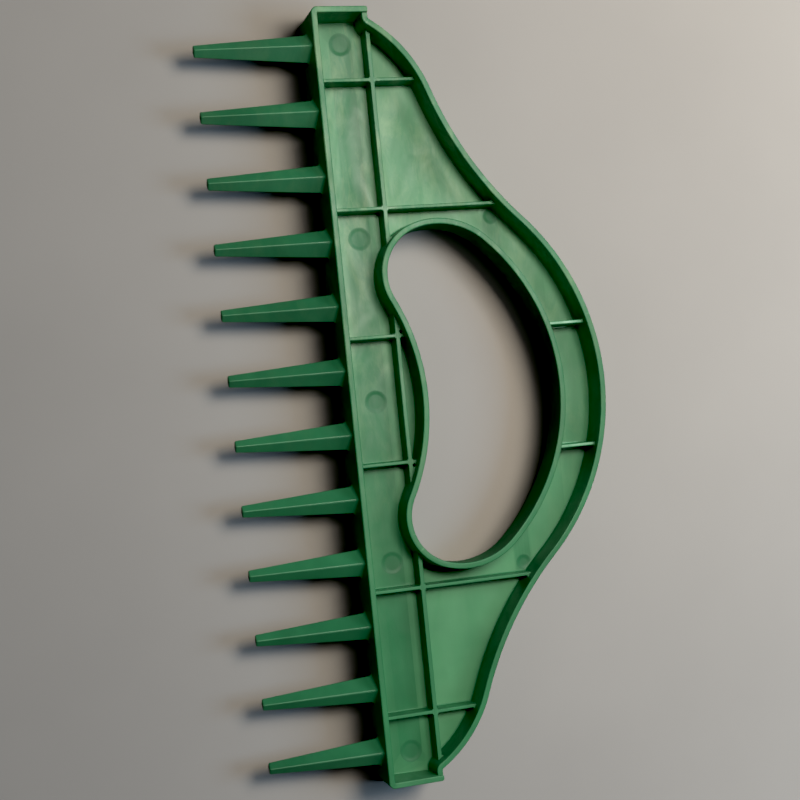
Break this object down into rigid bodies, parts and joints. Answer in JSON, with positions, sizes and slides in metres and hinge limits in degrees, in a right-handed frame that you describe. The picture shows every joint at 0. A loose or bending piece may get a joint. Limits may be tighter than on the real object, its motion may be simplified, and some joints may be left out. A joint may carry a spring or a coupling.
{
  "type": "hand rake",
  "caption": "One-piece moulded plastic hand rake: a straight ribbed bar with a row of blunt diamond-section tines, and an arched grip around a finger-shaped hand hole",
  "frame": {"origin": "on the flat back face, under the middle of the bar's front rim", "axes": "X along the row of tines, Y from the tines towards the grip, Z out of the open ribbed side"},
  "size_m": [0.3032, 0.1518, 0.016],
  "materials": {
    "body_green": "satin green moulded polypropylene with soft flow marks",
    "tine_green": "satin green moulded polypropylene, slightly darker on the tines"
  },
  "bodies": {
    "root": {"web": "body_green", "front_wall": "body_green", "end_wall_left": "body_green", "end_wall_right": "body_green", "outer_rim": "body_green", "hole_rim": "body_green", "spine_rib_left": "body_green", "spine_rib_middle": "body_green", "spine_rib_right": "body_green", "front_rib_1": "body_green", "front_rib_2": "body_green", "front_rib_3": "body_green", "front_rib_4": "body_green", "front_rib_5": "body_green", "front_rib_6": "body_green", "rear_rib_1": "body_green", "rear_rib_2": "body_green", "rear_rib_3": "body_green", "rear_rib_4": "body_green", "rear_rib_5": "body_green", "rear_rib_6": "body_green", "grip_rib_left": "body_green", "grip_rib_right": "body_green", "tine_01": "tine_green", "tine_02": "tine_green", "tine_03": "tine_green", "tine_04": "tine_green", "tine_05": "tine_green", "tine_06": "tine_green", "tine_07": "tine_green", "tine_08": "tine_green", "tine_09": "tine_green", "tine_10": "tine_green", "tine_11": "tine_green", "tine_12": "tine_green"}
  },
  "joints": []
}
